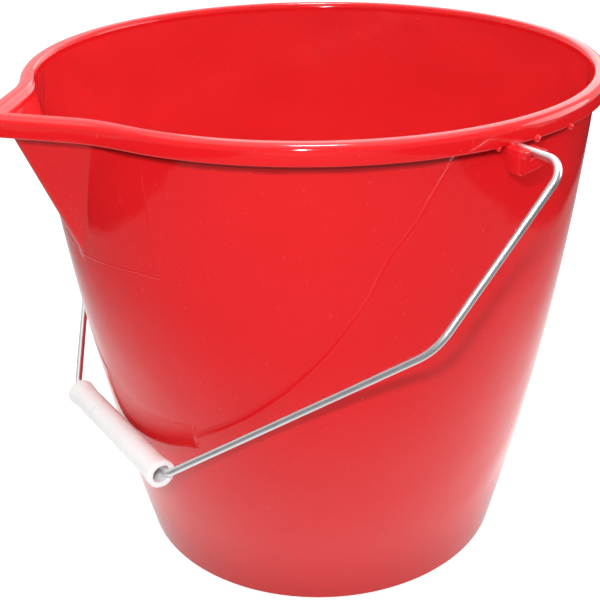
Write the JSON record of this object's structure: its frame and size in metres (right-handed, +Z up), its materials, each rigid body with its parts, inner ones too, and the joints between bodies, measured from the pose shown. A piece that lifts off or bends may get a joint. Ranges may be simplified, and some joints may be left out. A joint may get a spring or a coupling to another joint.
{
  "type": "wash bucket",
  "caption": "Round tapered plastic wash bucket with a pouring spout and a swinging wire bail carrying a loose tube grip.",
  "frame": {"origin": "centre of the underside, on the bucket's axis, in the plane it stands on", "axes": "+Z up out of the mouth, +X towards the pouring spout, Y along the bail's pivot line"},
  "size_m": [0.3299, 0.3616, 0.275],
  "materials": {
    "red_plastic": "glossy moulded polypropylene",
    "zinc_wire": "bright zinc-plated drawn steel wire",
    "white_plastic": "satin white moulded polyethylene"
  },
  "bodies": {
    "bucket": {"bucket_body": "red_plastic"},
    "bail": {"bail_wire": "zinc_wire"},
    "grip": {"grip": "white_plastic"}
  },
  "joints": [
    {"name": "bail_swing", "type": "hinge", "parent": "bucket", "child": "bail", "pos_m": [0, 0, 0.2647], "axis": [0, -1, 0], "range_deg": [0, 284.8]},
    {"name": "grip_spin", "type": "hinge", "parent": "bail", "child": "grip", "pos_m": [0.1324, 0.0013, 0.09277], "axis": [0, 1, 0], "continuous": true}
  ]
}
